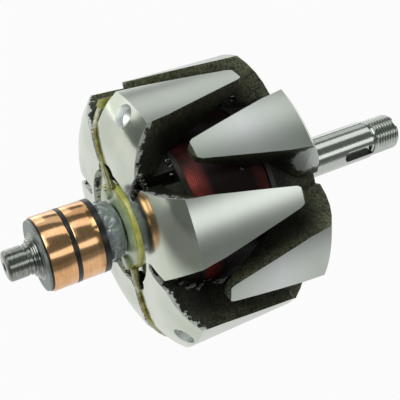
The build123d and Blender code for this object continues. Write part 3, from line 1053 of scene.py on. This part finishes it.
# %% Varnish drops
DROPS = [  # station and radius in mm, angle in degrees, size in mm
    (-76.6, 38.5, 116.0, 1.0),
    (-75.6, 35.5, 116.3, 1.3),
    (-74.5, 32.5, 116.5, 1.5),
    (-73.0, 29.0, 116.5, 1.5),
    (-76.4, 28.5, 116.8, 1.2),
    (-77.6, 26.4, 118.3, 1.1),
    (-75.0, 27.0, 117.5, 1.5),
    (-62.9, 34.0, 108.0, 1.2),
    (-63.0, 33.6, 112.0, 1.4),
    (-62.7, 31.6, 115.6, 1.3),
    (-23.4, 38.4, 77.5, 1.0),
    (-24.5, 37.2, 78.8, 0.8),
    (-22.8, 36.8, 75.0, 0.9),
    (-37.5, 33.9, 129.0, 0.9),
    (-73.0, 34.5, 184.0, 1.1),
    (-72.2, 37.0, 184.3, 1.2),
    (-70.5, 38.8, 186.2, 1.5),
    (-67.5, 37.5, 189.2, 1.7),
    (-65.5, 38.5, 192.6, 1.4),
    (-63.2, 36.5, 195.0, 1.3),
    (-60.5, 34.6, 198.0, 1.2),
    (-57.5, 34.4, 199.4, 1.1),
    (-54.6, 36.0, 199.5, 1.1),
]
varnish = Finish("set varnish", base_color=(0.012, 0.014, 0.008), roughness=0.06, coat_weight=1.0)


def add_drop(bm, place, size, squeeze=0.6):
    """Adds a lumpy drop to a bmesh, flattened along its own radius."""
    outward = Vector((0, place.y, place.z)).normalized()
    drop = bmesh.ops.create_icosphere(bm, subdivisions=3, radius=1.0)
    for vert in drop["verts"]:
        lump = 1 + 0.3 * noise.noise(vert.co * 1.1 + place * 900)
        swell = vert.co * size * lump
        vert.co = place + swell - outward * swell.dot(outward) * (1 - squeeze)


bm = bmesh.new()
for x, radius, angle, size in DROPS:
    add_drop(bm, about_shaft(x * MM, radius * MM, angle), size * MM)
piece("varnish_drops", bm, [varnish], "resin", sharp=radians(80))

# %% Pin in the upper lug
bm = bmesh.new()
add_drop(bm, about_shaft(ring_face - 2.1 * MM, 16.1 * MM, 70.1), 0.55 * MM, 1.0)
pin = Finish("lug pin", metallic=1.0, base_color=(0.45, 0.47, 0.46), roughness=0.25)
piece("lug_pin", bm, [pin], "lead_insulation")

# %% [markdown]
# ## Leads
# Two thin varnished wires run from the retainer's lugs, out along a valley of the pole and down
# on to the coil. A wire could be a chain of cylinders, but it would kink at each joint. Here it
# is one smooth curve with a round section. The section may grow and shrink from point to point,
# so the fibre sleeves over its ends are the same kind of curve, only thicker.

# %% Varnished fibre


def lead_finish(name, low, high):
    """Varnished fibre, darker in its hollows."""
    fibre = Finish(name, roughness=0.28, coat_weight=0.4)
    stain = fibre.speckle(420.0, 4.0, 0.6)
    fibre.set(base_color=fibre.mix(stain.between(0.38, 0.62), low, high))
    fibre.bump(fibre.speckle(1500.0), 0.15 * MM, 0.5)
    return fibre


LEAD_FINISHES = [
    lead_finish("lead sleeve", (0.16, 0.13, 0.03), (0.50, 0.48, 0.16)),
    lead_finish("pale fibre sleeve", (0.42, 0.40, 0.22), (0.68, 0.68, 0.46)),
    lead_finish("olive fibre sleeve", (0.07, 0.06, 0.01), (0.24, 0.25, 0.05)),
]
WIRE, PALE, OLIVE = range(3)
print(*LEAD_FINISHES, sep="\n")

# %% Routes of a lead's wire and sleeves
LEAD_RADIUS = 0.8 * MM
on_face = ring_face - 0.5 * MM
on_coil = coil_radius + LEAD_RADIUS + 0.2 * MM
landing = coil_start + 5.5 * MM
LEAD_ROUTE = [  # radius, angle from the valley's middle and station
    (retainer_radius - 1.2 * MM, -16, on_face),
    (retainer_radius + 2.7 * MM, -9, on_face),
    (27.0 * MM, -6.6, on_face),
    (37.5 * MM, -5.6, on_face),
    (44.0 * MM, -4.5, ring_face + 2.2 * MM),
    (47.6 * MM, -3, front_shoulder - 2.0 * MM),
    (46.6 * MM, -1, front_shoulder + 4.8 * MM),
    (on_coil + 2.6 * MM, -3, landing - 2.5 * MM),
    (on_coil, -10, landing),
    (on_coil, -20, landing + LEAD_RADIUS),
]
BEND = [(39.5 * MM, -5.2, on_face + 0.9 * MM), *LEAD_ROUTE[4:6]]
AT_LUG = [(17.0 * MM, -14, on_face), (21.0 * MM, -8.6, on_face), (27.0 * MM, -6.4, on_face)]
BESIDE_LUG = [
    (17.4 * MM, -22, on_face + 0.3 * MM),
    (21.0 * MM, -14, on_face + 0.5 * MM),
    (25.0 * MM, -8, on_face + 0.6 * MM),
]
LEAD_CORDS = [  # route, radii in mm and finish
    (LEAD_ROUTE, [0.62] * len(LEAD_ROUTE), WIRE),
    (BEND, [0.78, 1.05, 1.05], PALE),
    (AT_LUG, [1.15, 1.0, 0.75], PALE),
    (BESIDE_LUG, [1.25, 1.05, 0.6], OLIVE),
]
print("lead lands on the coil at", round(landing, 4))

# %% Cords


def cord(bm, places, radii, finish_index):
    """Adds a round cord along a smooth curve to a bmesh."""
    data = bpy.data.curves.new("cord", "CURVE")
    data.dimensions = "3D"
    data.bevel_depth = 1.0
    data.bevel_resolution = 3
    data.resolution_u = 8
    data.use_fill_caps = True
    spline = data.splines.new("NURBS")
    spline.points.add(len(places) - 1)
    spline.order_u = 3
    spline.use_endpoint_u = True
    for point, place, radius in zip(spline.points, places, radii):
        point.co = (*place, 1.0)
        point.radius = radius
    holder = bpy.data.objects.new("cord", data)
    mesh = bpy.data.meshes.new_from_object(holder)
    before = set(bm.faces)
    bm.from_mesh(mesh)
    for face in bm.faces:
        if face not in before:
            face.material_index = finish_index
    bpy.data.objects.remove(holder)
    bpy.data.curves.remove(data)
    bpy.data.meshes.remove(mesh)


def lead_piece(name, node, side):
    """A lead with its thin wire and the sleeves over both ends. Side is 1 for the lower one."""
    bm = bmesh.new()
    valley = 150 + 90 * side
    for route, radii, finish_index in LEAD_CORDS:
        places = [about_shaft(x, radius, valley + side * turn) for radius, turn, x in route]
        cord(bm, places, [radius * MM for radius in radii], finish_index)
    piece(name, bm, LEAD_FINISHES, "lead_insulation", node, sharp=radians(80))


# %% [markdown]
# A tongue of fibre tape holds the upper lead's bend. It is cut as a flat leaf, curled a little
# by noise and then given its thickness, as a real piece of tape is cut and pressed on.

# %% Tape and leads
TAPE_CORNERS = [(-76.0, 47.4), (-74.4, 49.4), (-69.0, 49.6), (-73.9, 45.6)]  # station, radius
TAPE_ANGLE = 64
TAPE_CURL = 0.7 * MM
TAPE_THICKNESS = 0.45 * MM


def fibre_tape():
    """The tongue of fibre tape that holds the upper lead's bend, cut as a thin leaf."""
    bm = bmesh.new()
    places = [about_shaft(x * MM, radius * MM, TAPE_ANGLE) for x, radius in TAPE_CORNERS]
    bm.faces.new([bm.verts.new(place) for place in places])
    bmesh.ops.subdivide_edges(bm, edges=bm.edges[:], cuts=5, use_grid_fill=True)
    for vert in bm.verts:
        vert.co.y += TAPE_CURL * noise.noise(vert.co * 260)
    bmesh.ops.solidify(bm, geom=bm.faces[:], thickness=TAPE_THICKNESS)
    bmesh.ops.recalc_face_normals(bm, faces=bm.faces)
    return bm


tape = lead_finish("fibre tape", (0.28, 0.28, 0.05), (0.52, 0.52, 0.16))
piece("lead_tape", fibre_tape(), [tape], "lead_insulation")
lead_piece("upper_lead", "lead_upper", -1)
lead_piece("lower_lead", "lead_lower", 1)
